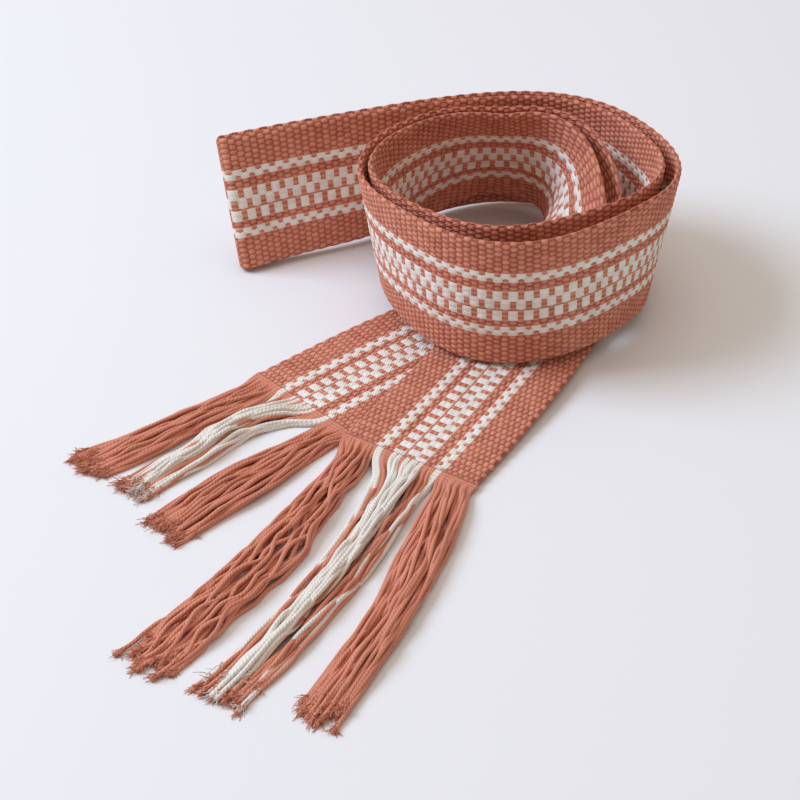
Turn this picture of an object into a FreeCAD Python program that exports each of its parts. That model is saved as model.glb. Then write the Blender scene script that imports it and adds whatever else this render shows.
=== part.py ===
import FreeCAD, Part
import math
import os

# Handwoven warp-faced sash, folded in half and coiled on edge on a table.
# Units are millimetres.  +Z is up and the table top is z = 0.
# The sash is one band.  It starts at tail A, stands up into the coil, runs to
# the fold at the far left, and comes back as the inner layer to tail B.

Vec = FreeCAD.Vector

# ---- Driving sizes -------------------------------------------------------
BAND_WIDTH = 50.0        # finished width of the woven band
BAND_THICKNESS = 2.2     # thickness of the woven band
WEFT_THICKNESS = 0.6     # the flat ribbon of weft picks inside the warps
WEFT_INSET = 1.6         # how far the weft stays inside each selvedge
WARP_CLEARANCE = 0.05    # between the weft ribbon and the warps around it
STRIPE_CLEARANCE = 0.12  # between one stripe of warps and the next
LAYER_GAP = 0.5          # between two layers that lie together
FRINGE_CLEARANCE = 0.4   # between the last pick and the fringe
ROOT_RISE = 0.5          # how far the fringe rises over the band beside the last pick
SELVEDGE_DRAW = 1.8      # how far the outer yarns of the fringe draw in from the selvedge
TABLE_CLEARANCE = 0.3    # fringe above the table
TABLE_PRESS = 0.05       # how far the warps that lie on the table are pressed flat
BUNDLE_GAP = 0.5         # between one bundle of fringe yarns and the next
BUNDLE_ROUNDING = 0.12   # share of a bundle's width that its top and foot are set in
SECTION_STEP = 9.0       # longest step between two sections of the band
SECTION_TURN = 16.0      # most degrees that the band turns between two sections

# ---- Warps ---------------------------------------------------------------
BORDER_WARPS = 13        # warps in each plain border
LINE_WARPS = 2           # warps in each wavy line
GROUND_WARPS = 4         # warps in each ground stripe beside the checks
CHECK_WARPS = 4          # warps in each of the three rows of checks
# Warps in each stripe, counted from the lower selvedge to the upper one.
STRIPES = [
    ("border_stripe_lower", BORDER_WARPS),
    ("wavy_line_lower", LINE_WARPS),
    ("ground_stripe_lower", GROUND_WARPS),
    ("check_row_lower", CHECK_WARPS),
    ("check_row_middle", CHECK_WARPS),
    ("check_row_upper", CHECK_WARPS),
    ("ground_stripe_upper", GROUND_WARPS),
    ("wavy_line_upper", LINE_WARPS),
    ("border_stripe_upper", BORDER_WARPS),
]
WARP_PITCH = BAND_WIDTH / sum(count for name, count in STRIPES)
# Stripes whose free warps make each bundle of fringe, in the order of STRIPES.
BUNDLE_STRIPES = {
    "lower": [("border_lower", BORDER_WARPS)],
    "middle": [("line_lower", LINE_WARPS), ("ground_lower", GROUND_WARPS),
               ("check", 3 * CHECK_WARPS), ("ground_upper", GROUND_WARPS),
               ("line_upper", LINE_WARPS)],
    "upper": [("border_upper", BORDER_WARPS)],
}

# ---- Route of the band ---------------------------------------------------
# Each station is (x, y, lift, lean).  The lift is how far the lower edge stays
# above the table, and it may pass a little below zero where a steep stretch
# only leans on the stations beside it.  The lean is in degrees from standing,
# positive towards the left of the way that the route runs.
TAIL_A = [
    (-27.0, 13.0, -TABLE_PRESS, -90),
    (-12.5, 26.5, -TABLE_PRESS, -90),
    (2.5, 40.0, -TABLE_PRESS, -90),
    (18.5, 53.0, -TABLE_PRESS, -90),
    (33.5, 64.5, 0.1, -90),
    (47.5, 74.5, -0.1, -91),
    (59.0, 84.0, 1.6, -88),
    (69.0, 92.5, -0.9, -52),
]
TAIL_B = [
    (8.0, -21.0, 0.4, -93.2),
    (18.0, -4.0, 0.7, -92.8),
    (28.5, 14.0, 1.9, -91),
    (38.5, 32.0, 2.7, -90),
    (46.5, 49.0, 2.4, -91),
    (52.5, 63.5, 1.4, -94),
    (58.0, 78.0, 5.1, -76),
    (62.5, 94.0, 6.1, -45),
]
# The two layers run together from here to the fold.  Each station here also
# has the gap between the two layers.
COIL = [
    (68.5, 108.5, 3.1, -20, 5.8),
    (64.0, 121.5, 6.2, 3, 3.8),
    (53.5, 128.5, 9.1, 20, 1.4),
    (43.5, 130.5, 10.2, 27, 1.0),
    (31.5, 130.0, 9.6, 23, LAYER_GAP),
    (17.5, 124.5, 7.6, 15, 1.0),
    (6.5, 113.5, 6.0, 6, 1.6),
    (-2.0, 99.5, 5.4, -4, 1.8),
    (-5.0, 83.0, 5.2, -11, 1.8),
    (0.0, 66.0, 5.5, -9, 2.0),
    (10.5, 49.5, 6.6, -5, 2.8),
    (25.5, 35.5, 6.4, -3, 6.3),
    (44.5, 32.5, 6.4, -3, 8.8),
    (63.5, 38.6, 7.4, -3, 7.8),
    (81.0, 50.0, 8.6, -4, 3.3),
    (92.5, 68.0, 5.1, -8, 3.8),
    (96.5, 89.0, 3.3, -12, 3.8),
    (91.5, 110.0, 1.7, -8, 4.3),
    (81.5, 130.5, 1.2, -1, 2.3),
    (65.5, 143.0, 1.2, 6, 0.8),
    (44.5, 146.0, 1.8, 10, LAYER_GAP),
    (22.5, 139.5, 2.3, 8, LAYER_GAP),
    (2.5, 128.0, 2.6, -2, LAYER_GAP),
    (-15.5, 120.0, 2.5, -8, LAYER_GAP),
    (-35.5, 113.0, 2.0, -10, 0.8),
    (-52.5, 107.0, 1.0, -15, 2.8),
]
FOLD_REACH = 5.0         # how far the fold goes beyond the last station

# ---- Route of the fringe -------------------------------------------------
# Each bundle of free warp ends is a list of (x, y, half width, top height)
# after its root, which takes its place and size from the last pick.
FRINGE_A = {
    "lower": [(-49.5, 15.0, 7.0, 4.5), (-64.5, 3.0, 6.5, 5.5), (-77.5, -9.0, 7.0, 5.5),
              (-92.5, -18.0, 9.0, 4.5), (-99.5, -23.0, 8.0, 3.5)],
    "middle": [(-40.5, 5.0, 6.0, 6.0), (-53.5, -4.0, 6.0, 7.0), (-61.5, -16.0, 6.0, 6.0),
               (-73.5, -26.5, 6.5, 5.5), (-82.5, -36.0, 7.0, 4.0)],
    "upper": [(-29.0, -14.5, 7.0, 4.5), (-41.5, -27.0, 9.5, 5.5), (-53.5, -39.0, 10.0, 5.5),
              (-64.5, -51.0, 9.5, 5.0), (-71.5, -58.0, 9.0, 3.5)],
}
FRINGE_B = {
    "lower": [(-15.0, -29.0, 5.5, 6.0), (-23.5, -46.0, 7.5, 6.5), (-33.5, -67.0, 9.0, 6.5),
              (-46.5, -88.0, 9.0, 6.5), (-60.5, -107.0, 9.5, 6.0), (-73.5, -123.0, 10.0, 4.0)],
    "middle": [(1.5, -43.0, 9.0, 6.5), (-9.5, -70.0, 8.5, 7.5), (-22.5, -95.0, 8.0, 7.0),
               (-35.5, -117.0, 8.5, 6.5), (-49.5, -137.0, 9.0, 4.5)],
    "upper": [(18.5, -49.0, 7.5, 6.0), (12.5, -67.0, 8.0, 6.5), (6.0, -88.0, 7.5, 6.5),
              (-2.5, -110.0, 7.0, 6.5), (-12.5, -130.0, 7.0, 6.0), (-21.5, -147.0, 8.0, 4.0)],
}


def unit(vector):
    """The vector at length one."""
    return vector * (1.0 / vector.Length)


def station_frame(before, after, lean):
    """Upper-edge and face directions of the band at a station between two others."""
    forward = unit(after - before)
    left = unit(Vec(0, 0, 1).cross(forward))
    up = forward.cross(left)
    angle = math.radians(lean)
    edge = up * math.cos(angle) + left * math.sin(angle)
    return edge, edge.cross(forward)


def station_middle(station):
    """Middle of the band at a station, which stands on its lower edge at the lift."""
    x, y, lift, lean = station[:4]
    angle = math.radians(lean)
    standing = abs(math.cos(angle)) * BAND_WIDTH / 2
    lying = abs(math.sin(angle)) * BAND_THICKNESS / 2
    return Vec(x, y, lift + standing + lying)


def layer_controls(tail, side):
    """Control points and edge directions of one layer: side is -1 outside, +1 inside."""
    stations = tail + COIL
    middles = [station_middle(station) for station in stations]
    points = []
    edges = []
    for index, station in enumerate(stations):
        before = middles[max(index - 1, 0)]
        after = middles[min(index + 1, len(middles) - 1)]
        edge, face = station_frame(before, after, station[3])
        spacing = BAND_THICKNESS + station[4] if len(station) > 4 else 0.0
        points.append(middles[index] + face * (side * spacing / 2.0))
        edges.append(edge)
    return points, edges


def band_controls():
    """Control points and edge directions of the whole band, tail A to tail B."""
    points_a, edges_a = layer_controls(TAIL_A, -1)
    points_b, edges_b = layer_controls(TAIL_B, 1)
    onward = unit(station_middle(COIL[-1]) - station_middle(COIL[-2])) * FOLD_REACH
    fold_points = [points_a[-1] + onward, points_b[-1] + onward]
    fold_edges = [edges_a[-1], edges_b[-1]]
    points = points_a + fold_points + points_b[::-1]
    edges = edges_a + fold_edges + edges_b[::-1]
    return points, edges


def spline_weights(t):
    """Weights of four neighbouring control points of a uniform cubic B-spline, and slopes."""
    weights = [(1 - t) ** 3 / 6, (3 * t ** 3 - 6 * t ** 2 + 4) / 6,
               (-3 * t ** 3 + 3 * t ** 2 + 3 * t + 1) / 6, t ** 3 / 6]
    slopes = [-(1 - t) ** 2 / 2, (3 * t ** 2 - 4 * t) / 2,
              (-3 * t ** 2 + 2 * t + 1) / 2, t ** 2 / 2]
    return weights, slopes


def blended(values, weights):
    """Sum of the values times the weights."""
    total = values[0] * weights[0]
    for value, weight in zip(values[1:], weights[1:]):
        total = total + value * weight
    return total


def with_ends(values):
    """The values with one more at each end, so that the spline starts and ends on them."""
    return [values[0] * 2 - values[1]] + values + [values[-1] * 2 - values[-2]]


def span_steps(four):
    """How many straight steps one span of the spline is cut into."""
    turn = math.degrees((four[2] - four[0]).getAngle(four[3] - four[1]))
    length = (four[2] - four[1]).Length
    return max(1, math.ceil(length / SECTION_STEP), math.ceil(turn / SECTION_TURN))


def spline_samples(points, riders):
    """Points, directions and riding values along the B-spline of the control points."""
    points = with_ends(points)
    riders = with_ends(riders)
    samples = []
    for first in range(len(points) - 3):
        four = points[first:first + 4]
        steps = span_steps(four)
        last_span = first == len(points) - 4
        for step in range(steps + (1 if last_span else 0)):
            weights, slopes = spline_weights(step / steps)
            samples.append((blended(four, weights), unit(blended(four, slopes)),
                            blended(riders[first:first + 4], weights)))
    return samples


def band_sections():
    """Middle, upper-edge direction and face direction at every section of the band."""
    points, edges = band_controls()
    sections = []
    for middle, forward, edge in spline_samples(points, edges):
        edge = unit(edge - forward * edge.dot(forward))
        sections.append((middle, edge, edge.cross(forward)))
    return sections


def lofted(outlines):
    """Closed solid with straight lines between outlines that have equal numbers of points."""
    wires = [Part.makePolygon(outline + outline[:1]) for outline in outlines]
    solid = Part.makeLoft(wires, True, True)
    if solid.Volume < 0:
        solid.reverse()
    return solid


def ribbon(sections, corners):
    """Solid along the band; corners are (distance across the band, height off its middle)."""
    outlines = []
    for middle, edge, face in sections:
        outlines.append([middle + edge * across + face * height for across, height in corners])
    return lofted(outlines)


def pressed(solid):
    """The solid with what would pass into the table taken off, which leaves a flat face."""
    box = solid.BoundBox
    corner = Vec(box.XMin, box.YMin, -BAND_THICKNESS)
    return solid.cut(Part.makeBox(box.XLength, box.YLength, BAND_THICKNESS, corner)).Solids[0]


def layer_solids(sections, low, high):
    """The two layers of warps, over and under the weft, of a stripe inside the band."""
    inner = WEFT_THICKNESS / 2 + WARP_CLEARANCE
    outer = BAND_THICKNESS / 2
    over = ribbon(sections, [(low, inner), (high, inner), (high, outer), (low, outer)])
    under = ribbon(sections, [(low, -outer), (high, -outer), (high, -inner), (low, -inner)])
    return [over, pressed(under)]


def border_solid(sections, low, high):
    """A border stripe, whose warps close round the turn of the weft at the selvedge."""
    inner = WEFT_THICKNESS / 2 + WARP_CLEARANCE
    outer = BAND_THICKNESS / 2
    stop = BAND_WIDTH / 2 - WEFT_INSET + WARP_CLEARANCE
    if low < 0:
        corners = [(low, -outer), (high, -outer), (high, -inner), (-stop, -inner),
                   (-stop, inner), (high, inner), (high, outer), (low, outer)]
    else:
        corners = [(high, -outer), (high, outer), (low, outer), (low, inner),
                   (stop, inner), (stop, -inner), (low, -inner), (low, -outer)]
    return pressed(ribbon(sections, corners))


def woven_band(sections):
    """Every node of the woven part: nine stripes of warps and the weft inside them."""
    nodes = {}
    low = -BAND_WIDTH / 2
    for name, count in STRIPES:
        high = low + count * WARP_PITCH
        left = low if low == -BAND_WIDTH / 2 else low + STRIPE_CLEARANCE / 2
        right = high if name == STRIPES[-1][0] else high - STRIPE_CLEARANCE / 2
        if name.startswith("border"):
            nodes[name] = [border_solid(sections, left, right)]
        else:
            nodes[name] = layer_solids(sections, left, right)
        low = high
    reach = BAND_WIDTH / 2 - WEFT_INSET
    half = WEFT_THICKNESS / 2
    nodes["weft"] = [ribbon(sections, [(-reach, -half), (reach, -half), (reach, half), (-reach, half)])]
    return nodes


def bundle_rows(route, root_point, root_half, root_edge, outward):
    """Middle, sideways half width and top height at every section of one bundle."""
    first = root_point + outward * FRINGE_CLEARANCE
    root_top = root_point.z + BAND_THICKNESS / 2 + ROOT_RISE
    middles = [Vec(first.x, first.y, 0)] + [Vec(x, y, 0) for x, y, half, top in route]
    shape = [Vec(root_half, root_top, 0)] + [Vec(half, top, 0) for x, y, half, top in route]
    rows = []
    for middle, forward, size in spline_samples(middles, shape):
        sideways = unit(Vec(-forward.y, forward.x, 0))
        rows.append((middle, sideways, size.x, size.y))
    level = unit(Vec(root_edge.x, root_edge.y, 0))
    turned = level if level.dot(rows[0][1]) > 0 else level * -1
    rows[0] = (rows[0][0], turned, rows[0][2], rows[0][3])
    return rows


def bundle_solid(rows, low, high):
    """Solid of the yarns between two shares, -1 to +1, of a bundle's half width."""
    outlines = []
    for middle, sideways, half, top in rows:
        a = middle + sideways * (half * low + BUNDLE_GAP / 2)
        b = middle + sideways * (half * high - BUNDLE_GAP / 2)
        waist = TABLE_CLEARANCE + (top - TABLE_CLEARANCE) / 2
        side = (b - a) * BUNDLE_ROUNDING
        outlines.append([a + side + Vec(0, 0, TABLE_CLEARANCE), b - side + Vec(0, 0, TABLE_CLEARANCE),
                         b + Vec(0, 0, waist), b - side + Vec(0, 0, top),
                         a + side + Vec(0, 0, top), a + Vec(0, 0, waist)])
    return lofted(outlines)


def fringe_nodes(prefix, routes, section, outward):
    """Every node of one end's fringe, each the free ends of one stripe's warps."""
    nodes = {}
    middle, edge, face = section
    low_edge = -BAND_WIDTH / 2
    for bundle, stripes in BUNDLE_STRIPES.items():
        total = sum(count for name, count in stripes)
        high_edge = low_edge + total * WARP_PITCH
        first = max(low_edge, SELVEDGE_DRAW - BAND_WIDTH / 2)
        last = min(high_edge, BAND_WIDTH / 2 - SELVEDGE_DRAW)
        low_edge = high_edge
        root = middle + edge * ((first + last) / 2)
        rows = bundle_rows(routes[bundle], root, (last - first) / 2, edge, outward)
        flip = 1 if rows[0][1].dot(edge) > 0 else -1
        used = 0
        for name, count in stripes:
            low = flip * (2.0 * used / total - 1)
            high = flip * (2.0 * (used + count) / total - 1)
            nodes[prefix + name] = [bundle_solid(rows, min(low, high), max(low, high))]
            used += count
    return nodes


def main():
    """Build every node and write one STEP file for each."""
    os.makedirs("parts", exist_ok=True)
    sections = band_sections()
    nodes = woven_band(sections)
    out_a = unit(sections[0][0] - sections[1][0])
    out_b = unit(sections[-1][0] - sections[-2][0])
    nodes.update(fringe_nodes("fringe_a_", FRINGE_A, sections[0], out_a))
    nodes.update(fringe_nodes("fringe_b_", FRINGE_B, sections[-1], out_b))
    for name, solids in nodes.items():
        shape = solids[0] if len(solids) == 1 else Part.makeCompound(solids)
        shape.exportStep("parts/" + name + ".step")
        print(name, len(solids), "solid(s)", round(shape.Volume, 1), "mm3", shape.isValid())


main()
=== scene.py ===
"""Visual model of a handwoven sash, folded in half and coiled on edge, with a fringe at both ends.

All lengths are in metres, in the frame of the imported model: +Z is up and the table is z = 0.
"""
import logging
import math
from dataclasses import dataclass, field
from enum import Enum

import bpy
import numpy as np
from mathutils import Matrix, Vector


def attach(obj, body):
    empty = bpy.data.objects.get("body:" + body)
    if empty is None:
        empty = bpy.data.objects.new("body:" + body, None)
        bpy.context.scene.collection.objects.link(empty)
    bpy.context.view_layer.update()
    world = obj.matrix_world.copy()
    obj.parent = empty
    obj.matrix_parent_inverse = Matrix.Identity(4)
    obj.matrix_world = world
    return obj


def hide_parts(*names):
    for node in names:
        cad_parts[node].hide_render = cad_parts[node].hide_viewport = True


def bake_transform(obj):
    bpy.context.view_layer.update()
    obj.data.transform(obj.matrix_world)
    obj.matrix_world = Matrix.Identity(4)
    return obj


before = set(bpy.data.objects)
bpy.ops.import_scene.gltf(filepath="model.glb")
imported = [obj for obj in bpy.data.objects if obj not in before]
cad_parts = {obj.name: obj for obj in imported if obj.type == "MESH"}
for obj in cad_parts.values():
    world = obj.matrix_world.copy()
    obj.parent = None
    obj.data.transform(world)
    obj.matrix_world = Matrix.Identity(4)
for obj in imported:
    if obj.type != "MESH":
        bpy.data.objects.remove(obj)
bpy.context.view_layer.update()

log = logging.getLogger("sash")

# ---- Driving sizes of the band -------------------------------------------
BAND_WIDTH = 0.050
BAND_THICKNESS = 0.0022
PICK_SPACING = 0.0026
WARP_COUNT = 50
WARP_PITCH = BAND_WIDTH / WARP_COUNT
FRINGE_ROOT_RISE = 0.0005
SELVEDGE_DRAW = 0.0018
YARN_PITCH = WARP_PITCH / 2     # each warp is two yarns that work as one
YARN_RADIUS = 0.00070
PLIES = 3                       # a yarn's second map coordinate goes from 0 to this round it
STRAND_DEPTH = 0.5              # depth mark of a loose yarn, where 0 is a groove and 1 a crest

# ---- Route of the band, as in the CAD part -------------------------------
# Each station is (x, y, lift of the lower edge, lean in degrees from standing).
# A station of the coil also has the gap between the two layers.
TAIL_A = [
    (-0.027, 0.013, -0.00005, -90),
    (-0.0125, 0.0265, -0.00005, -90),
    (0.0025, 0.04, -0.00005, -90),
    (0.0185, 0.053, -0.00005, -90),
    (0.0335, 0.0645, 0.0001, -90),
    (0.0475, 0.0745, -0.0001, -91),
    (0.059, 0.084, 0.0016, -88),
    (0.069, 0.0925, -0.0009, -52),
]
TAIL_B = [
    (0.008, -0.021, 0.0004, -93.2),
    (0.018, -0.004, 0.0007, -92.8),
    (0.0285, 0.014, 0.0019, -91),
    (0.0385, 0.032, 0.0027, -90),
    (0.0465, 0.049, 0.0024, -91),
    (0.0525, 0.0635, 0.0014, -94),
    (0.058, 0.078, 0.0051, -76),
    (0.0625, 0.094, 0.0061, -45),
]
COIL = [
    (0.0685, 0.1085, 0.0031, -20, 0.0058),
    (0.064, 0.1215, 0.0062, 3, 0.0038),
    (0.0535, 0.1285, 0.0091, 20, 0.0014),
    (0.0435, 0.1305, 0.0102, 27, 0.001),
    (0.0315, 0.13, 0.0096, 23, 0.0005),
    (0.0175, 0.1245, 0.0076, 15, 0.001),
    (0.0065, 0.1135, 0.006, 6, 0.0016),
    (-0.002, 0.0995, 0.0054, -4, 0.0018),
    (-0.005, 0.083, 0.0052, -11, 0.0018),
    (0.0, 0.066, 0.0055, -9, 0.002),
    (0.0105, 0.0495, 0.0066, -5, 0.0028),
    (0.0255, 0.0355, 0.0064, -3, 0.0063),
    (0.0445, 0.0325, 0.0064, -3, 0.0088),
    (0.0635, 0.0386, 0.0074, -3, 0.0078),
    (0.081, 0.05, 0.0086, -4, 0.0033),
    (0.0925, 0.068, 0.0051, -8, 0.0038),
    (0.0965, 0.089, 0.0033, -12, 0.0038),
    (0.0915, 0.11, 0.0017, -8, 0.0043),
    (0.0815, 0.1305, 0.0012, -1, 0.0023),
    (0.0655, 0.143, 0.0012, 6, 0.0008),
    (0.0445, 0.146, 0.0018, 10, 0.0005),
    (0.0225, 0.1395, 0.0023, 8, 0.0005),
    (0.0025, 0.128, 0.0026, -2, 0.0005),
    (-0.0155, 0.12, 0.0025, -8, 0.0005),
    (-0.0355, 0.113, 0.002, -10, 0.0008),
    (-0.0525, 0.107, 0.001, -15, 0.0028),
]
FOLD_REACH = 0.005

# ---- Route of the fringe, as in the CAD part -----------------------------
# Each bundle is a list of (x, y, half width, top height) after its root.
FRINGE_A = {
    "lower": [
        (-0.0495, 0.015, 0.007, 0.0045),
        (-0.0645, 0.003, 0.0065, 0.0055),
        (-0.0775, -0.009, 0.007, 0.0055),
        (-0.0925, -0.018, 0.009, 0.0045),
        (-0.0995, -0.023, 0.008, 0.0035),
    ],
    "middle": [
        (-0.0405, 0.005, 0.006, 0.006),
        (-0.0535, -0.004, 0.006, 0.007),
        (-0.0615, -0.016, 0.006, 0.006),
        (-0.0735, -0.0265, 0.0065, 0.0055),
        (-0.0825, -0.036, 0.007, 0.004),
    ],
    "upper": [
        (-0.029, -0.0145, 0.007, 0.0045),
        (-0.0415, -0.027, 0.0095, 0.0055),
        (-0.0535, -0.039, 0.01, 0.0055),
        (-0.0645, -0.051, 0.0095, 0.005),
        (-0.0715, -0.058, 0.009, 0.0035),
    ],
}
FRINGE_B = {
    "lower": [
        (-0.015, -0.029, 0.0055, 0.006),
        (-0.0235, -0.046, 0.0075, 0.0065),
        (-0.0335, -0.067, 0.009, 0.0065),
        (-0.0465, -0.088, 0.009, 0.0065),
        (-0.0605, -0.107, 0.0095, 0.006),
        (-0.0735, -0.123, 0.01, 0.004),
    ],
    "middle": [
        (0.0015, -0.043, 0.009, 0.0065),
        (-0.0095, -0.07, 0.0085, 0.0075),
        (-0.0225, -0.095, 0.008, 0.007),
        (-0.0355, -0.117, 0.0085, 0.0065),
        (-0.0495, -0.137, 0.009, 0.0045),
    ],
    "upper": [
        (0.0185, -0.049, 0.0075, 0.006),
        (0.0125, -0.067, 0.008, 0.0065),
        (0.006, -0.088, 0.0075, 0.0065),
        (-0.0025, -0.11, 0.007, 0.0065),
        (-0.0125, -0.13, 0.007, 0.006),
        (-0.0215, -0.147, 0.008, 0.004),
    ],
}


class Layer(Enum):
    """The two halves of the band, one each side of the fold."""

    OUTER = "outer_layer"
    INNER = "inner_layer"


# ---- Numeric helpers -----------------------------------------------------
def unit(vectors: np.ndarray) -> np.ndarray:
    """Each row divided by its own length."""
    return vectors / np.linalg.norm(vectors, axis=-1, keepdims=True)


def with_ends(values: np.ndarray) -> np.ndarray:
    """The rows with one more at each end, mirrored, so that a B-spline starts and ends on them."""
    return np.vstack([2 * values[0] - values[1], values, 2 * values[-1] - values[-2]])


def b_spline(controls: np.ndarray, per_span: int) -> np.ndarray:
    """Uniform cubic B-spline through the control rows' neighbourhood.

    Each point is the sum of four neighbouring rows, weighted with the cubic
    B-spline's blending polynomials of the place t within the span.

    Args:
        controls: One row for each control point, of any number of columns.
        per_span: How many points each span gets.

    Returns:
        One row for each point of the spline.
    """
    rows = with_ends(controls)
    spans = len(rows) - 3
    t = np.linspace(0.0, 1.0, per_span, endpoint=False)
    place = np.append(np.tile(t, spans), 1.0)
    first = np.append(np.repeat(np.arange(spans), per_span), spans - 1)
    weights = [(1 - place) ** 3, 3 * place**3 - 6 * place**2 + 4,
               -3 * place**3 + 3 * place**2 + 3 * place + 1, place**3]
    return sum(rows[first + i] * (w / 6)[:, None] for i, w in enumerate(weights))


def arc_lengths(points: np.ndarray) -> np.ndarray:
    """Distance along the polyline to each of its points."""
    steps = np.linalg.norm(np.diff(points, axis=0), axis=1)
    return np.concatenate([[0.0], np.cumsum(steps)])


def read_along(table: np.ndarray, lengths: np.ndarray, at: np.ndarray) -> np.ndarray:
    """The table's rows read at the given distances along it, in straight steps."""
    return np.stack([np.interp(at, lengths, table[:, i]) for i in range(table.shape[1])], axis=1)


def smooth_step(values: np.ndarray) -> np.ndarray:
    """From 0 to 1 with level ends, the cubic 3 t^2 - 2 t^3, and flat outside."""
    clipped = np.clip(values, 0, 1)
    return clipped**2 * (3 - 2 * clipped)


def wander(rng: np.random.Generator, along: np.ndarray, count: int, wavelength: float) -> np.ndarray:
    """Slow random waves, one row for each of count strands.

    Each row is the sum of three sines of about the wavelength, half of it and
    a third of it, each with a random phase and a falling height.

    Args:
        rng: Where the phases come from.
        along: Distances along the strand.
        count: How many rows.
        wavelength: The longest wave, in the distances' unit.

    Returns:
        Values from about -1 to 1, of shape (count, len(along)).
    """
    total = np.zeros((count, len(along)))
    for order, height in ((1, 0.55), (2, 0.3), (3, 0.15)):
        stretch = rng.uniform(0.8, 1.25, (count, 1))
        phase = rng.uniform(0, 2 * math.pi, (count, 1))
        total += height * np.sin(2 * math.pi * order * stretch * along[None] / wavelength + phase)
    return total


# ---- Meshes --------------------------------------------------------------
@dataclass
class Surface:
    """Points and faces of one piece before it becomes an object."""

    points: np.ndarray
    quads: np.ndarray
    caps: list[np.ndarray] = field(default_factory=list)
    uv: np.ndarray | None = None
    marks: dict[str, np.ndarray] = field(default_factory=dict)

    def joined(self, other: "Surface") -> "Surface":
        """This surface and another as one."""
        shift = len(self.points)
        return Surface(
            np.vstack([self.points, other.points]),
            np.vstack([self.quads, other.quads + shift]),
            self.caps + [cap + shift for cap in other.caps],
            np.vstack([self.uv, other.uv]),
            {name: np.concatenate([self.marks[name], other.marks[name]]) for name in self.marks},
        )

    def build(self, name: str, material: bpy.types.Material) -> bpy.types.Object:
        """The surface as a smooth-shaded Blender object.

        Args:
            name: The piece's name.
            material: Its finish.

        Returns:
            The object, at the origin and unturned, with its place in its mesh.
        """
        mesh = bpy.data.meshes.new(name)
        mesh.vertices.add(len(self.points))
        mesh.vertices.foreach_set("co", self.points.astype(np.float32).ravel())
        corners = np.concatenate([self.quads.ravel(), *self.caps]).astype(np.int32)
        sizes = np.concatenate([np.full(len(self.quads), 4), [len(c) for c in self.caps]]).astype(np.int32)
        starts = np.concatenate([[0], np.cumsum(sizes)[:-1]]).astype(np.int32)
        mesh.loops.add(len(corners))
        mesh.loops.foreach_set("vertex_index", corners)
        mesh.polygons.add(len(sizes))
        mesh.polygons.foreach_set("loop_start", starts)
        mesh.polygons.foreach_set("loop_total", sizes)
        mesh.update(calc_edges=True)
        mesh.validate()
        mesh.shade_smooth()
        layer = mesh.uv_layers.new(name="weave")
        flat = self.uv[corners]
        turns = flat[:self.quads.size].reshape(-1, 4, 2)[..., 1]
        turns += PLIES * (turns < turns.max(axis=1, keepdims=True) - PLIES / 2)
        layer.uv.foreach_set("vector", flat.astype(np.float32).ravel())
        for mark, values in self.marks.items():
            attribute = mesh.attributes.new(mark, "FLOAT", "POINT")
            attribute.data.foreach_set("value", values.astype(np.float32))
        mesh.materials.append(material)
        piece = bpy.data.objects.new(name, mesh)
        bpy.context.scene.collection.objects.link(piece)
        return piece


def rings(points: np.ndarray, uv: np.ndarray, marks: dict[str, np.ndarray]) -> Surface:
    """Closed tubes from rings of points: quads join each ring to the next, and a cap closes each end.

    Args:
        points: Shape (tubes, rings, sides, 3), each ring turning right-handed about the way it runs.
        uv: Shape (tubes, rings, sides, 2).
        marks: Values of shape (tubes, rings, sides), by attribute name.

    Returns:
        One surface for all the tubes.
    """
    tubes, count, sides = points.shape[:3]
    index = np.arange(tubes * count * sides).reshape(tubes, count, sides)
    turned = np.roll(index, -1, axis=2)
    quads = np.stack([index[:, :-1], turned[:, :-1], turned[:, 1:], index[:, 1:]], axis=-1)
    caps = [row[::-1] for row in index[:, 0]] + list(index[:, -1])
    return Surface(points.reshape(-1, 3), quads.reshape(-1, 4), caps, uv.reshape(-1, 2),
                   {name: values.reshape(-1) for name, values in marks.items()})


def tubes_along(paths: np.ndarray, radius: np.ndarray, sides: int, tone: np.ndarray,
                cream: np.ndarray) -> Surface:
    """Round strands along paths.

    Each ring lies across its path, and starts at the level side of it.

    Args:
        paths: Shape (strands, points, 3).
        radius: Shape (strands, points).
        sides: Points in each ring.
        tone: One value for each strand, lighter or darker.
        cream: One value for each strand, 1 for cream and 0 for terracotta.

    Returns:
        One surface for all the strands.
    """
    forward = unit(np.gradient(paths, axis=1))
    level = np.cross(np.array([0.0, 0.0, 1.0]), forward)
    level = unit(level + 1e-6)
    above = np.cross(forward, level)
    steps = np.linalg.norm(np.diff(paths, axis=1), axis=2)
    along = np.concatenate([np.zeros((len(paths), 1)), np.cumsum(steps, axis=1)], axis=1)
    angle = np.linspace(0, 2 * math.pi, sides, endpoint=False)[None, None]
    around = np.cos(angle)[..., None] * level[:, :, None] + np.sin(angle)[..., None] * above[:, :, None]
    points = paths[:, :, None] + radius[..., None, None] * around
    shape = points.shape[:3]
    uv = np.stack(np.broadcast_arrays(along[..., None] / PICK_SPACING, angle * PLIES / (2 * math.pi)), axis=-1)
    uv = np.broadcast_to(uv, shape + (2,))
    marks = {
        "depth": np.full(shape, STRAND_DEPTH),
        "tone": np.broadcast_to(tone[:, None, None], shape),
        "cream": np.broadcast_to(cream[:, None, None], shape),
        "woven": np.zeros(shape),
    }
    return rings(points, uv, marks)


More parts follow.
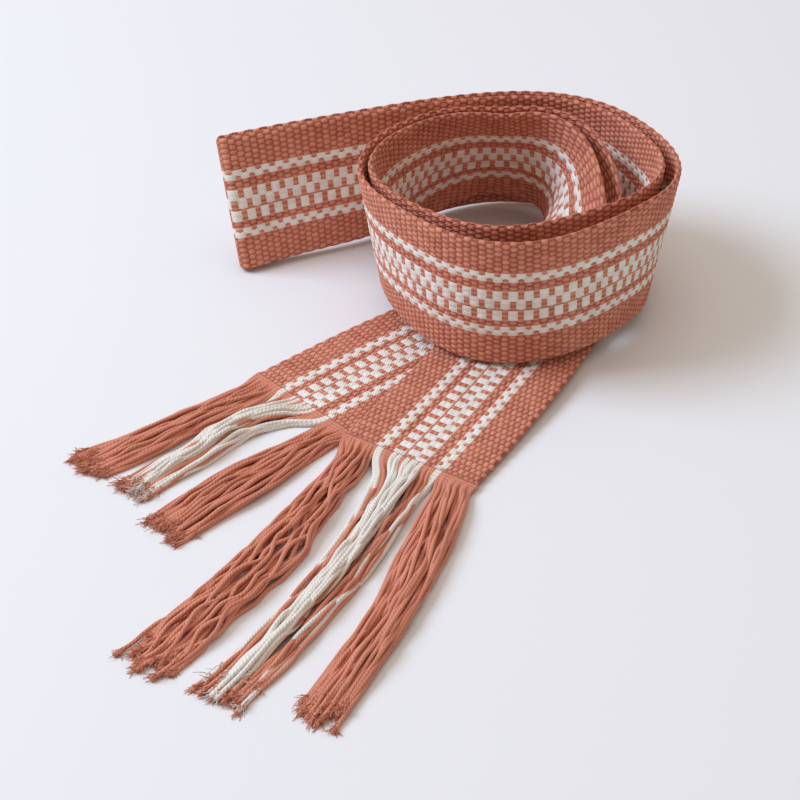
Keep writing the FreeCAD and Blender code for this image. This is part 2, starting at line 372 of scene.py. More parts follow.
# ---- The band ------------------------------------------------------------
@dataclass
class BandRoute:
    """The line that the band's middle follows, with the way its upper edge and its face point."""

    width: float = BAND_WIDTH
    thickness: float = BAND_THICKNESS
    points_per_span: int = 24

    def __post_init__(self) -> None:
        """Work out the spline once."""
        table = b_spline(np.hstack(self.controls()), self.points_per_span)
        middle = table[:, :3]
        forward = unit(np.gradient(middle, axis=0))
        edge = table[:, 3:]
        edge = unit(edge - forward * np.sum(edge * forward, axis=1, keepdims=True))
        self.lengths = arc_lengths(middle)
        self.table = np.hstack([middle, edge, np.cross(edge, forward), forward])

    @property
    def length(self) -> float:
        """Woven length of the band."""
        return float(self.lengths[-1])

    def layer_controls(self, tail: list, side: int) -> tuple[np.ndarray, np.ndarray]:
        """Control points of one layer.

        A station's middle is its lift, plus half the width times the cosine of
        its lean, plus half the thickness times the sine.  The edge direction
        is the station's upward direction turned by the lean towards the left.

        Args:
            tail: Stations of the layer's own tail, before the shared coil.
            side: -1 for the outer layer and 1 for the inner one.

        Returns:
            Control points and edge directions, one row for each station.
        """
        stations = tail + COIL
        place = np.array([station[:3] for station in stations])
        lean = np.radians([station[3] for station in stations])
        gap = np.array([self.thickness + s[4] if len(s) > 4 else 0.0 for s in stations])
        place[:, 2] += np.abs(np.cos(lean)) * self.width / 2 + np.abs(np.sin(lean)) * self.thickness / 2
        before = np.vstack([place[:1], place[:-1]])
        after = np.vstack([place[1:], place[-1:]])
        forward = unit(after - before)
        left = unit(np.cross([0.0, 0.0, 1.0], forward))
        up = np.cross(forward, left)
        edge = up * np.cos(lean)[:, None] + left * np.sin(lean)[:, None]
        face = np.cross(edge, forward)
        return place + face * (side * gap / 2)[:, None], edge

    def controls(self) -> tuple[np.ndarray, np.ndarray]:
        """Control points and edge directions of the whole band, from tail A round the fold to tail B."""
        points_a, edges_a = self.layer_controls(TAIL_A, -1)
        points_b, edges_b = self.layer_controls(TAIL_B, 1)
        middle = (points_a + points_b[-len(points_a):]) / 2
        onward = unit(middle[-1] - middle[-2]) * FOLD_REACH
        fold = np.vstack([points_a[-1] + onward, points_b[-1] + onward])
        fold_edges = np.vstack([edges_a[-1], edges_b[-1]])
        return (np.vstack([points_a, fold, points_b[::-1]]),
                np.vstack([edges_a, fold_edges, edges_b[::-1]]))

    def read(self, along: np.ndarray) -> tuple[np.ndarray, np.ndarray, np.ndarray, np.ndarray]:
        """Middle, edge, face and forward direction at distances along the band."""
        rows = read_along(self.table, self.lengths, along)
        return rows[:, :3], unit(rows[:, 3:6]), unit(rows[:, 6:9]), unit(rows[:, 9:])


@dataclass(frozen=True)
class Stripe:
    """A run of neighbouring warps that is one part of the pattern."""

    name: str
    node: str
    slot: str
    yarns: str                        # one letter for each warp: T terracotta, C cream
    reach: float = 1.02               # half width of a terracotta float, in warps
    cream_reach: float = 1.15         # half width of a cream float, in warps
    shifts: tuple[float, ...] = ()    # how far each float lies from its warp's own place, in warps

    @property
    def count(self) -> int:
        """How many warps the stripe has."""
        return len(self.yarns)


STRIPES = [
    Stripe("border_lower", "border_stripe_lower", "terracotta_cotton", "T" * 13),
    Stripe("wavy_line_lower", "wavy_line_lower", "cream_cotton", "CC", shifts=(-0.25, 0.25)),
    Stripe("ground_lower", "ground_stripe_lower", "terracotta_cotton", "TTTT"),
    Stripe("checks_lower", "check_row_lower", "checked_cotton", "CTCT", reach=1.35),
    Stripe("checks_middle", "check_row_middle", "checked_cotton", "TCTC", reach=1.35, shifts=(-0.3,) * 4),
    Stripe("checks_upper", "check_row_upper", "checked_cotton", "CTCT", reach=1.35),
    Stripe("ground_upper", "ground_stripe_upper", "terracotta_cotton", "TTTT"),
    Stripe("wavy_line_upper", "wavy_line_upper", "cream_cotton", "CC", shifts=(-0.25, 0.25)),
    Stripe("border_upper", "border_stripe_upper", "terracotta_cotton", "T" * 13),
]


@dataclass
class Weave:
    """Warp-faced plain weave: each warp goes over one pick and under the next."""

    route: BandRoute
    samples_per_pick: int = 4
    wide_columns: int = 3         # columns of faces in each warp of a border
    narrow_columns: int = 4       # and of any other stripe
    swing: float = 0.00034        # how far a warp rises and falls about its own level
    crown: float = 0.00048        # height of a warp's round back
    cream_lift: float = 0.00009   # the cream cotton is thicker and stands higher
    cream_claim: float = 0.00026  # how much lower a terracotta float must be for a cream one to cover it
    cream_rest: float = 0.55      # how high a cream warp stays when it goes under, as a share of the swing
    roundness: float = 0.5        # power of the ellipse across a warp's back
    cream_flatness: float = 0.25  # how much smaller that power is for a cream warp
    groove_share: float = 0.75    # depth below a crest, as a share of its height, at which the depth mark is 0
    warp_tone: float = 0.5        # how much the warps' tones differ
    pick_tone: float = 0.35       # and those of the picks
    rim: float = 0.0014           # width of the rounded selvedge
    blunt: float = 0.03           # share of the rim that is cut off square at the very edge
    scallop: float = 0.00014      # how far the turns of the weft pull the selvedge in and out

    def __post_init__(self) -> None:
        """Number the picks and list every warp's yarn."""
        self.picks = round(self.route.length / PICK_SPACING)
        self.cream = np.array([c == "C" for stripe in STRIPES for c in stripe.yarns], float)
        self.reaches = np.array([stripe.cream_reach if c == "C" else stripe.reach
                                 for stripe in STRIPES for c in stripe.yarns])
        self.shifts = np.concatenate([stripe.shifts or np.zeros(stripe.count) for stripe in STRIPES])
        self.tones = np.random.default_rng(11).normal(0, self.warp_tone, WARP_COUNT)
        self.pick_tones = np.random.default_rng(12).normal(0, self.pick_tone, self.picks + 4)

    def heights(self, pick: np.ndarray, across: np.ndarray, face: int) -> tuple[np.ndarray, ...]:
        """Height of the cloth's surface over its middle, and which warp shows.

        Each warp's height is its swing times its level, the cosine of half a
        turn for each pick less half a turn for each warp, plus its round back,
        an ellipse across it.  A cream warp sinks less and has a flatter back.
        The warp with the highest claim shows, where cream claims a bit more
        than its height.

        Args:
            pick: Places along the band in picks, shape (n, 1).
            across: Places across it in warps, shape (1, m).
            face: 0 for the front and 1 for the back.

        Returns:
            Height, cream share, tone and depth, each of shape (n, m).
        """
        top = np.full(np.broadcast_shapes(pick.shape, across.shape), -1.0)
        best = np.zeros_like(top)
        cream = np.zeros_like(best)
        tone = np.zeros_like(best)
        row = np.round(pick).astype(int) + 1
        home = np.floor(across + 1e-6).astype(int)
        for step in (-2, -1, 0, 1, 2):
            warp = np.clip(home + step, 0, WARP_COUNT - 1)
            thick = self.cream[warp]
            off = (across - warp - 0.5 - self.shifts[warp]) / self.reaches[warp]
            back = np.clip(1 - off**2, 0, 1) ** (self.roundness - self.cream_flatness * thick)
            wave = np.cos(math.pi * (pick - warp - face))
            level = wave + self.cream_rest * thick * (1 - wave)
            claim = self.swing * wave + self.crown * back + self.cream_claim * thick
            claim = np.where(np.abs(off) < 1, claim, -1.0)
            wins = claim > top
            top = np.where(wins, claim, top)
            best = np.where(wins, self.swing * level + self.crown * back + self.cream_lift * thick, best)
            cream = np.where(wins, np.broadcast_to(thick, best.shape), cream)
            shade = self.tones[warp] + self.pick_tones[row]
            tone = np.where(wins, shade, tone)
        crest = self.swing + self.crown
        depth = np.clip(1 + (best - crest) / (self.groove_share * crest), 0, 1)
        return best + self.route.thickness / 2 - crest, cream, tone, depth

    def piece(self, first: int, stripe: Stripe, layer: Layer) -> Surface:
        """One stripe of one half of the band, as a closed strip.

        The strip's section runs along the front face from the lower side to
        the upper one, and back along the back face.  Near a selvedge the
        height is multiplied by a quarter circle, so that the edge is round.

        Args:
            first: Number of the stripe's first warp.
            stripe: The stripe.
            layer: Which half of the band.

        Returns:
            The strip's surface.
        """
        half = self.picks // 2
        low, high = (0, half) if layer is Layer.OUTER else (half, self.picks)
        pick = np.linspace(low, high, (high - low) * self.samples_per_pick + 1)[:, None]
        columns = stripe.count * (self.wide_columns if "border" in stripe.name else self.narrow_columns)
        across = np.linspace(first, first + stripe.count, columns + 1)[None]
        middle, edge, face, _ = self.route.read(pick[:, 0] * self.route.length / self.picks)
        selvedge = np.minimum(across, WARP_COUNT - across) * WARP_PITCH
        round_off = np.sqrt(1 - (1 - np.clip(selvedge / self.rim, self.blunt, 1)) ** 2)
        outward = np.where(across < WARP_COUNT / 2, -1.0, 1.0)
        pull = self.scallop * np.cos(math.pi * pick) * np.clip(1 - selvedge / self.rim, 0, 1)
        place = (across - WARP_COUNT / 2) * WARP_PITCH + outward * pull
        sides = []
        for back in (0, 1):
            height, cream, tone, depth = self.heights(pick, across, back)
            height = height * round_off * (1 - 2 * back)
            points = (middle[:, None] + edge[:, None] * place[..., None] + face[:, None] * height[..., None])
            uv = np.stack(np.broadcast_arrays(pick, across + back), axis=-1)
            sides.append((points, uv, {"cream": cream, "tone": tone, "depth": depth, "woven": np.ones_like(cream)}))
        (front, front_uv, front_marks), (rear, rear_uv, rear_marks) = sides
        points = np.concatenate([front, rear[:, ::-1]], axis=1)[None]
        uv = np.concatenate([front_uv, rear_uv[:, ::-1]], axis=1)[None]
        marks = {k: np.concatenate([front_marks[k], rear_marks[k][:, ::-1]], axis=1)[None] for k in front_marks}
        return rings(points, uv, marks)


# ---- The fringe ----------------------------------------------------------
@dataclass(frozen=True)
class Strand:
    """Neighbouring warps of one bundle that are one piece of the fringe."""

    name: str
    slot: str
    yarns: str


@dataclass(frozen=True)
class Bundle:
    """Warps that lie together past the last pick."""

    name: str
    strands: tuple[Strand, ...]
    mixing: float      # share of the bundle's width that its yarns cross over
    waviness: float    # share of the bundle's width that each yarn wanders
    wavelength: float

    @property
    def count(self) -> int:
        """How many warps the bundle has."""
        return sum(len(strand.yarns) for strand in self.strands)


def bundles(border_waviness: float) -> tuple[Bundle, ...]:
    """The three bundles of one end, from the lower selvedge to the upper one."""
    return (
        Bundle("lower", (Strand("border_lower", "terracotta_cotton", "T" * 26),), 0.22, border_waviness, 0.050),
        Bundle("middle", (
            Strand("line_lower", "cream_cotton", "CCCC"),
            Strand("ground_lower", "terracotta_cotton", "T" * 8),
            Strand("check", "checked_cotton", "CCTTCCTTTTCCTTCCCCTTCCTT"),
            Strand("ground_upper", "terracotta_cotton", "T" * 8),
            Strand("line_upper", "cream_cotton", "CCCC"),
        ), 0.20, 0.04, 0.070),
        Bundle("upper", (Strand("border_upper", "terracotta_cotton", "T" * 26),), 0.22, 0.03, 0.075),
    )


@dataclass
class Fringe:
    """The free warp ends past one last pick, as plied yarns with frayed tips."""

    end: str
    routes: dict
    root: tuple[np.ndarray, np.ndarray, np.ndarray]   # middle, edge and outward direction at the last pick
    bundles: tuple[Bundle, ...]
    seed: int
    rings_per_yarn: int = 80
    yarn_sides: int = 8
    hidden_start: float = 0.0012     # how far inside the band a yarn starts
    root_length: float = 0.011       # where a yarn stops running straight on from its warp
    calm_length: float = 0.012       # where its waves have their full height
    bend_length: float = 0.010       # a distance out from the middle of a bundle's root
    shortest: float = 0.90           # shortest yarn, as a share of its bundle's length
    settle_share: float = 0.45       # share of the bundle's length over which its yarns change places
    side_room: float = 0.92          # share of the bundle's half width that its yarns' middles use
    gathered_width: float = 0.55     # how narrow the check strand's cream yarns draw together
    gathered_level: float = 0.62     # lowest level of those yarns, which lie on top
    under_level: float = 0.6         # highest level of the others in that bundle
    level_wave: float = 0.35         # how much a yarn's level wanders
    level_wavelength: float = 0.045
    flank: float = 0.8               # how far the bundle's ellipse falls at its sides
    top_room: float = 2.1            # room kept below the bundle's top, in yarn radii
    droop_from: float = 0.8          # share of a yarn after which it drops to the table
    droop: float = 0.75              # share of its height that it loses
    cream_swell: float = 0.15        # how much thicker a cream yarn is
    slub: float = 0.06               # how much a yarn's thickness wanders
    slub_wavelength: float = 0.02
    tuft_length: float = 0.0042
    fibres: int = 26
    fibre_sides: int = 4
    fibre_rings: int = 7
    fibre_radius: float = 0.00020
    fibre_splay: float = 0.22        # how far a fibre turns away from its yarn
    fibre_curl: float = 0.5          # how much it bends on
    fibre_sag: float = 0.2           # how much of that is downward
    fibre_floor: float = 0.00025     # lowest middle of a fibre
    fibre_painted_light: float = 3.5          # painted light: how much lighter than its yarn a frayed fibre is drawn, to lift the tufts out of their shade

    def bundle_rows(self, bundle: Bundle, first: int) -> np.ndarray:
        """Middle x and y, half width and top height along a bundle, from its root on."""
        middle, edge, outward = self.root
        low = max(first * YARN_PITCH, SELVEDGE_DRAW) - BAND_WIDTH / 2
        high = min((first + bundle.count) * YARN_PITCH, BAND_WIDTH - SELVEDGE_DRAW) - BAND_WIDTH / 2
        root = middle + edge * (low + high) / 2
        top = root[2] + BAND_THICKNESS / 2 + FRINGE_ROOT_RISE
        rows = np.array([(root[0], root[1], (high - low) / 2, top)] + self.routes[bundle.name])
        return b_spline(rows, 24)

    def yarn_paths(self, bundle: Bundle, first: int, rng: np.random.Generator) -> np.ndarray:
        """The lines of a bundle's yarns.

        Across the bundle each yarn goes from its own warp's place to a place
        in a new order, by a smooth step, and wanders by slow waves.  Its
        height follows a half ellipse across the bundle, filled from the table
        up in a random order, and it drops to the table at its tip.

        Args:
            bundle: The bundle.
            first: Number of its first warp.
            rng: Where the waves and the order come from.

        Returns:
            Points of shape (yarns, rings, 3).
        """
        middle, edge, outward = self.root
        rows = self.bundle_rows(bundle, first)
        lengths = arc_lengths(rows[:, :2])
        count = bundle.count
        full = rng.uniform(self.shortest, 1.0, (count, 1)) * lengths[-1]
        share = np.linspace(0, 1, self.rings_per_yarn)[None]
        along = share * full
        read = [np.interp(along, lengths, rows[:, i]) for i in range(4)]
        slope = unit(np.gradient(rows[:, :2], axis=0))
        side_x, side_y = (np.interp(along, lengths, column) for column in (-slope[:, 1], slope[:, 0]))
        flip = 1.0 if -slope[0, 1] * edge[0] + slope[0, 0] * edge[1] > 0 else -1.0
        home = (np.arange(count)[:, None] + 0.5) / count * 2 - 1
        order = np.argsort(np.argsort(home[:, 0] + rng.normal(0, 2 * bundle.mixing, count)))
        away = (order[:, None] + 0.5) / count * 2 - 1
        gathered = np.array([strand.name == "check" and letter == "C"
                             for strand in bundle.strands for letter in strand.yarns])
        away[gathered] = away[gathered] * self.gathered_width
        settle = smooth_step(along / (self.settle_share * lengths[-1]))
        leave = np.clip(along / self.calm_length, 0, 1)
        waves = wander(rng, along[0], count, bundle.wavelength) * bundle.waviness * 2 * leave
        across = np.clip(home * (1 - settle) + away * settle + waves, -1.05, 1.05) * self.side_room
        level = rng.permutation(count)[:, None] / count
        if gathered.any():
            on_top = self.gathered_level + (1 - self.gathered_level) * level
            level = np.where(gathered[:, None], on_top, self.under_level * level)
        level = np.clip(level + self.level_wave * wander(rng, along[0], count, self.level_wavelength), 0, 1)
        ceiling = read[3] * np.sqrt(np.clip(1 - self.flank * across**2, 0, 1))
        room = np.maximum(ceiling - self.top_room * YARN_RADIUS, 0)
        drop = 1 - self.droop * np.clip((share - self.droop_from) / (1 - self.droop_from), 0, 1)
        height = YARN_RADIUS + room * level * drop
        spread = flip * read[2] * across
        points = np.stack([read[0] + side_x * spread, read[1] + side_y * spread, height], axis=-1)
        start = middle + edge * (((first + np.arange(count) + 0.5) * YARN_PITCH - BAND_WIDTH / 2)[:, None])
        start = start - outward * self.hidden_start
        near = smooth_step(along / self.root_length)[..., None]
        straight = start[:, None] + outward * (along[..., None] + self.hidden_start * (1 - share[..., None]))
        return straight * (1 - near) + points * near

    def tufts(self, paths: np.ndarray, tone: np.ndarray, cream: np.ndarray, rng: np.random.Generator) -> Surface:
        """Frayed fibres at the yarns' tips.

        Each fibre starts inside its yarn's tip, leaves along the yarn turned
        by a random angle, bends on further with the square of the way along
        it, and stays above the table.

        Args:
            paths: The yarns' lines.
            tone: One value for each yarn.
            cream: One value for each yarn.
            rng: Where the directions come from.

        Returns:
            One surface for all the fibres.
        """
        tips = np.repeat(paths[:, -3], self.fibres, axis=0)
        onward = np.repeat(unit(paths[:, -1] - paths[:, -6]), self.fibres, axis=0)
        count = len(tips)
        turn = rng.normal(0, self.fibre_splay, (count, 3))
        bend = rng.normal(0, self.fibre_curl, (count, 3)) - np.array([0, 0, self.fibre_sag])
        way = unit(onward + turn)
        length = rng.uniform(0.55, 1.0, (count, 1, 1)) * self.tuft_length
        step = np.linspace(0, 1, self.fibre_rings)[None, :, None]
        points = tips[:, None] + length * (way[:, None] * step + bend[:, None] * step**2 * 0.5)
        points = points + rng.normal(0, 0.5 * YARN_RADIUS, (count, 1, 3))
        points[..., 2] = np.maximum(points[..., 2], self.fibre_floor)
        radius = self.fibre_radius * np.broadcast_to(1 - 0.5 * step[..., 0] ** 2, (count, self.fibre_rings))
        # Painted light: the fibres are drawn lighter than their yarn, on top of a random tone.
        shade = np.repeat(tone, self.fibres) + self.fibre_painted_light + rng.normal(0, 0.8, count)
        return tubes_along(points, radius, self.fibre_sides, shade, np.repeat(cream, self.fibres))

    def build(self, finishes: dict[str, bpy.types.Material]) -> list[bpy.types.Object]:
        """Every strand of the fringe, each in place of its CAD node and bending from the band to its bundle.

        Args:
            finishes: A material for each material slot.

        Returns:
            The new pieces.
        """
        middle, edge, outward = self.root
        built = []
        first = 0
        for number, bundle in enumerate(self.bundles):
            rng = np.random.default_rng(self.seed + number)
            paths = self.yarn_paths(bundle, first, rng)
            centre = middle + edge * ((first + bundle.count / 2) * YARN_PITCH - BAND_WIDTH / 2)
            used = 0
            for strand in bundle.strands:
                lines = paths[used:used + len(strand.yarns)]
                cream = np.array([letter == "C" for letter in strand.yarns], float)
                tone = rng.normal(0, 0.8, len(strand.yarns))
                radius = np.full(lines.shape[:2], YARN_RADIUS) * (1 + self.cream_swell * cream[:, None])
                places = np.linspace(0, 0.1, lines.shape[1])
                radius = radius * (1 + self.slub * wander(rng, places, len(lines), self.slub_wavelength))
                surface = tubes_along(lines, radius, self.yarn_sides, tone, cream)
                surface = surface.joined(self.tufts(lines, tone, cream, rng))
                node = f"fringe_{self.end}_{strand.name}"
                piece = surface.build(f"{node}_yarns", finishes[strand.slot])
                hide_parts(node)
                tuple(centre + outward * self.bend_length)
                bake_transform(piece)
                built.append(piece)
                used += len(strand.yarns)
            first += bundle.count
        return built


# ---- Finishes ------------------------------------------------------------
class Maths:
    """A value socket of a shader, so that a sum is written as one."""

    def __init__(self, tree: bpy.types.NodeTree, socket) -> None:
        """Wrap a socket, or hold a plain number."""
        self.tree = tree
        self.socket = socket

    def node(self, operation: str, *values) -> "Maths":
        """One Math node on these values, numbers or wrapped sockets."""
        node = self.tree.nodes.new("ShaderNodeMath")
        node.operation = operation
        for place, value in enumerate(values):
            if isinstance(value, Maths):
                self.tree.links.new(value.socket, node.inputs[place])
            else:
                node.inputs[place].default_value = value
        return Maths(self.tree, node.outputs[0])

    def __add__(self, other) -> "Maths":
        """Sum."""
        return self.node("ADD", self, other)

    __radd__ = __add__

    def __mul__(self, other) -> "Maths":
        """Product."""
        return self.node("MULTIPLY", self, other)

    __rmul__ = __mul__

    def __sub__(self, other) -> "Maths":
        """Difference."""
        return self.node("SUBTRACT", self, other)

    def __rsub__(self, other) -> "Maths":
        """Difference the other way round."""
        return self.node("SUBTRACT", other, self)

    def sine(self) -> "Maths":
        """Sine, of radians."""
        return self.node("SINE", self)

    def magnitude(self) -> "Maths":
        """The value without its sign."""
        return self.node("ABSOLUTE", self)

    def clamped(self) -> "Maths":
        """The value kept between 0 and 1."""
        return self.node("MINIMUM", self.node("MAXIMUM", self, 0.0), 1.0)


class Finish:
    """Nodes that the finishes share."""

    def add(self, tree: bpy.types.NodeTree, kind: str, settings: dict | None = None, inputs: dict | None = None):
        """One node of a type, with its settings and its inputs, numbers or sockets.

        Args:
            tree: Where the node goes.
            kind: The node's type.
            settings: Properties, set first.
            inputs: Values or sockets, by input name or number.

        Returns:
            The node.
        """
        node = tree.nodes.new(kind)
        for key, value in (settings or {}).items():
            setattr(node, key, value)
        for key, value in (inputs or {}).items():
            if isinstance(value, Maths):
                value = value.socket
            if isinstance(value, bpy.types.NodeSocket):
                tree.links.new(value, node.inputs[key])
            else:
                node.inputs[key].default_value = value
        return node

    def mark(self, tree: bpy.types.NodeTree, name: str) -> Maths:
        """A value that the mesh carries."""
        return Maths(tree, self.add(tree, "ShaderNodeAttribute", {"attribute_name": name}).outputs["Fac"])

    def colour_mix(self, tree: bpy.types.NodeTree, factor: Maths, low, high):
        """A colour between two, by the factor."""
        node = self.add(tree, "ShaderNodeMix", {"data_type": "RGBA"})
        tree.links.new(factor.socket, node.inputs[0])
        for place, value in ((6, low), (7, high)):
            if isinstance(value, bpy.types.NodeSocket):
                tree.links.new(value, node.inputs[place])
            else:
                node.inputs[place].default_value = (*value, 1.0)
        return node.outputs[2]

    def noise(self, tree: bpy.types.NodeTree, scale: float, detail: float) -> Maths:
        """Noise from 0 to 1 in object coordinates, scale to the metre."""
        place = self.add(tree, "ShaderNodeTexCoord").outputs["Object"]
        node = self.add(tree, "ShaderNodeTexNoise", None, {"Vector": place, "Scale": scale, "Detail": detail})
        return Maths(tree, node.outputs[0])


@dataclass(frozen=True)
class CottonFinish(Finish):
    """Matte plied cotton, terracotta where the cream mark is 0 and cream where it is 1, with painted shade in the
    hollows of the weave and the yarns.
    """

    name: str
    twist: float = 1.8                # ply ridges in each pick
    across_twist: float = 1.0         # ply ridges in each warp
    # Lit and shaded copies of each colour: mixing between them paints shade in the weave's hollows, and also gives
    # the cotton's own uneven tone.
    terracotta_lit: tuple[float, float, float] = (0.800, 0.330, 0.215)
    terracotta_dark_and_shaded: tuple[float, float, float] = (0.340, 0.075, 0.040)
    cream_lit: tuple[float, float, float] = (0.930, 0.900, 0.840)
    cream_dark_and_shaded: tuple[float, float, float] = (0.560, 0.450, 0.330)
    roughness: float = 0.9
    fibre_scale: float = 2600.0       # noise of the single fibres, to the metre
    patch_scale: float = 55.0         # uneven dye
    wobble_scale: float = 420.0       # uneven places of the floats
    wobble_along: float = 0.5         # in picks
    wobble_across: float = 0.35       # in warps
    hump_across: float = 0.85         # how far a float falls at its sides
    hump_along: float = 0.6           # and at its ends
    cream_calm: float = 0.8           # how much weaker the grooves are in cream
    bump: float = 0.6
    bump_depth: float = 0.0004

    def build(self) -> bpy.types.Material:
        """The material.

        The map's coordinates count picks along the band and warps across it.
        On each pick every second warp shows, one warp further on the next, so
        the distance aside is that to the nearest such warp, from 0 at its
        middle to 1 at its sides, and the distance ahead is that to the pick.
        """
        material = bpy.data.materials.new(self.name)
        material.use_nodes = True
        tree = material.node_tree
        tree.nodes.clear()
        depth, tone, cream = (self.mark(tree, name) for name in ("depth", "tone", "cream"))
        uv = self.add(tree, "ShaderNodeUVMap", {"uv_map": "weave"}).outputs[0]
        parts = self.add(tree, "ShaderNodeSeparateXYZ", None, {0: uv})
        along, across = (Maths(tree, parts.outputs[i]) for i in (0, 1))
        ply = (along * (2 * math.pi * self.twist) + across * (2 * math.pi * self.across_twist)).sine()
        fibre = self.noise(tree, self.fibre_scale, 3.0)
        patch = self.noise(tree, self.patch_scale, 2.0)
        sharp = ((cream - 0.5) * 3.0 + 0.5).clamped()
        wobble = self.noise(tree, self.wobble_scale, 1.0) - 0.5
        along = along + wobble * self.wobble_along
        across = across + wobble * self.wobble_across
        nearest = along.node("FLOOR", along + 0.5)
        place = across - nearest + 0.5
        aside = (place.node("FLOORED_MODULO", place, 2.0) - 1.0).magnitude()
        cell = self.add(tree, "ShaderNodeCombineXYZ", None, {0: nearest, 1: place.node("FLOOR", place * 0.5)})
        spot = Maths(tree, self.add(tree, "ShaderNodeTexWhiteNoise", None, {"Vector": cell.outputs[0]}).outputs[0])
        ahead = (along - nearest).magnitude() * 2.0
        hump = (1.0 - aside * aside * self.hump_across - ahead * ahead * ahead * ahead * self.hump_along).clamped()
        woven = self.mark(tree, "woven")
        # Painted shade: the groove darkens the colour between the floats, and the bump below also sinks them there.
        groove = (1.0 - hump) * woven * (1.0 - sharp * self.cream_calm)
        # Painted shade in the depth, groove and ply terms, darkening the hollows between and along the yarns; the
        # tone, fibre, patch and spot terms are the cotton's own uneven colour.
        light = (depth * 0.35 + 0.56 + tone * 0.08 + (fibre - 0.5) * 0.5 + (patch - 0.5) * 0.25 + ply * 0.08
                 + (spot - 0.5) * woven * 0.3 - groove * 0.6).clamped()
        terracotta = self.colour_mix(tree, light, self.terracotta_dark_and_shaded, self.terracotta_lit)
        pale = self.colour_mix(tree, light, self.cream_dark_and_shaded, self.cream_lit)
        colour = self.colour_mix(tree, sharp, terracotta, pale)
        height = ply * 0.25 + fibre * 0.6 - groove * 1.4
        bump = self.add(tree, "ShaderNodeBump", None,
                        {"Strength": self.bump, "Distance": self.bump_depth, "Height": height})
        shader = self.add(tree, "ShaderNodeBsdfPrincipled", None, {
            "Base Color": colour, "Roughness": self.roughness - fibre * 0.08, "Normal": bump.outputs[0],
            "Specular IOR Level": 0.25, "Sheen Weight": 0.06, "Sheen Roughness": 0.5})
        self.add(tree, "ShaderNodeOutputMaterial", None, {"Surface": shader.outputs[0]})
        return material


@dataclass(frozen=True)
class TableFinish(Finish):
    """Smooth pale table top."""

    name: str = "pale_table"
    colour: tuple[float, float, float] = (0.855, 0.86, 0.865)
    shade: tuple[float, float, float] = (0.845, 0.85, 0.855)
    cloud_scale: float = 6.0
    roughness: float = 0.7
    specular: float = 0.3

    def build(self) -> bpy.types.Material:
        """The material."""
        material = bpy.data.materials.new(self.name)
        material.use_nodes = True
        tree = material.node_tree
        shader = tree.nodes["Principled BSDF"]
        cloud = self.noise(tree, self.cloud_scale, 2.0)
        tree.links.new(self.colour_mix(tree, cloud, self.shade, self.colour), shader.inputs["Base Color"])
        shader.inputs["Roughness"].default_value = self.roughness
        shader.inputs["Specular IOR Level"].default_value = self.specular
        return material


# ---- Stage ---------------------------------------------------------------
@dataclass(frozen=True)
class SoftLight:
    """A square light that faces the object."""

    name: str
    place: tuple[float, float, float]
    size: float
    power: float
    colour: tuple[float, float, float]


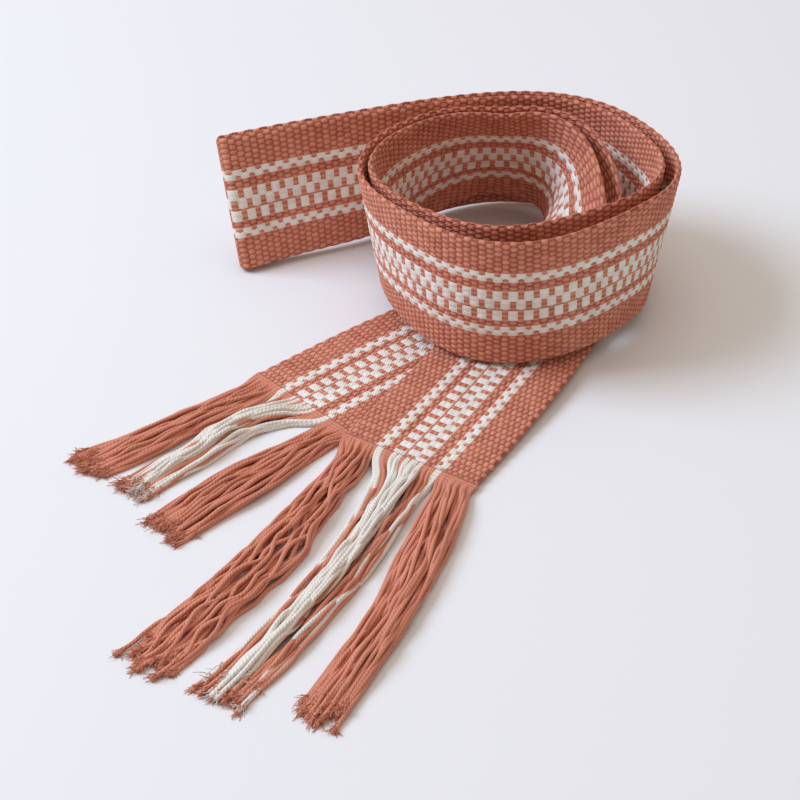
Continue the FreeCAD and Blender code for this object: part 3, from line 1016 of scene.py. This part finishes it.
@dataclass
class Stage:
    """The table, the lights and the camera."""

    target: tuple[float, float, float] = (0.0045, 0.0170, 0.0)
    elevation: float = 35.0
    distance: float = 0.850
    lens: float = 112.5
    table_size: float = 6.0
    window: SoftLight = SoftLight("window", (-1.40, 0.15, 1.30), 1.0, 32.0, (0.68, 0.80, 1.0))
    ceiling: SoftLight = SoftLight("ceiling", (0.2, 0.3, 1.9), 2.0, 9.0, (1.0, 0.96, 0.92))
    room_colour: tuple[float, float, float] = (1.0, 0.87, 0.76)
    room_strength: float = 0.42

    def table(self) -> None:
        """A flat pale table top, not part of the object."""
        half = self.table_size / 2
        mesh = bpy.data.meshes.new("table_top")
        mesh.from_pydata([(-half, -half, 0), (half, -half, 0), (half, half, 0), (-half, half, 0)], [], [(0, 1, 2, 3)])
        mesh.materials.append(TableFinish().build())
        top = bpy.data.objects.new("table_top", mesh)
        bpy.context.scene.collection.objects.link(top)

    def lights(self) -> None:
        """A cool window on the left, a large pale ceiling, and a dimmer warm room all round."""
        bpy.context.scene.view_settings.view_transform = "Standard"
        for soft in (self.window, self.ceiling):
            data = bpy.data.lights.new(soft.name, "AREA")
            data.size = soft.size
            data.energy = soft.power
            data.color = soft.colour
            light = bpy.data.objects.new(soft.name, data)
            light.location = soft.place
            light.rotation_euler = (Vector(self.target) - Vector(soft.place)).to_track_quat("-Z", "Y").to_euler()
            bpy.context.scene.collection.objects.link(light)
        world = bpy.data.worlds.new("warm_room")
        world.use_nodes = True
        background = world.node_tree.nodes["Background"]
        background.inputs[0].default_value = (*self.room_colour, 1.0)
        background.inputs[1].default_value = self.room_strength
        bpy.context.scene.world = world

    def camera(self) -> None:
        """The camera, in front of the object and above it."""
        data = bpy.data.cameras.new("camera")
        data.lens = self.lens
        camera = bpy.data.objects.new("camera", data)
        rise = math.radians(self.elevation)
        target = Vector(self.target)
        camera.location = target + Vector((0, -math.cos(rise), math.sin(rise))) * self.distance
        camera.rotation_euler = (target - camera.location).to_track_quat("-Z", "Y").to_euler()
        bpy.context.scene.collection.objects.link(camera)
        bpy.context.scene.camera = camera


# ---- Assembly ------------------------------------------------------------
def build_band(weave: Weave, finishes: dict[str, bpy.types.Material]) -> dict[str, bpy.types.Object]:
    """Every stripe of both halves of the band, in place of the CAD stripes."""
    built = {}
    first = 0
    for stripe in STRIPES:
        for layer in Layer:
            name = f"{stripe.name}_{layer.value}"
            piece = weave.piece(first, stripe, layer).build(name, finishes[stripe.slot])
            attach(piece, "band")
            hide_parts(stripe.node)
            built[name] = piece
            log.info("%s: %d faces", name, len(piece.data.polygons))
        first += stripe.count
    return built


def main() -> None:
    """Build the sash, its finishes and its stage, in order."""
    logging.basicConfig(level=logging.INFO, format="%(message)s")
    plain = [CottonFinish(slot) for slot in ("terracotta_cotton", "cream_cotton", "checked_cotton")]
    weft_finish = CottonFinish("weft_cotton", twist=3.0, across_twist=0.0)
    finishes = {finish.name: finish.build() for finish in (*plain, weft_finish)}
    route = BandRoute()
    log.info("woven length %.4f m", route.length)
    weave = Weave(route)
    band = build_band(weave, finishes)
    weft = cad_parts["weft"]
    weft.data.materials.clear()
    weft.data.materials.append(finishes["weft_cotton"])
    for end, routes, place, sign, waviness, seed in (("a", FRINGE_A, 0.0, -1.0, 0.03, 21),
                                                     ("b", FRINGE_B, route.length, 1.0, 0.11, 31)):
        middle, edge, _, forward = (rows[0] for rows in route.read(np.array([place])))
        fringe = Fringe(end, routes, (middle, edge, forward * sign), bundles(waviness), seed)
        fringe.build(finishes)
    stage = Stage()
    stage.table()
    stage.lights()
    stage.camera()


if __name__ == "__main__":
    main()
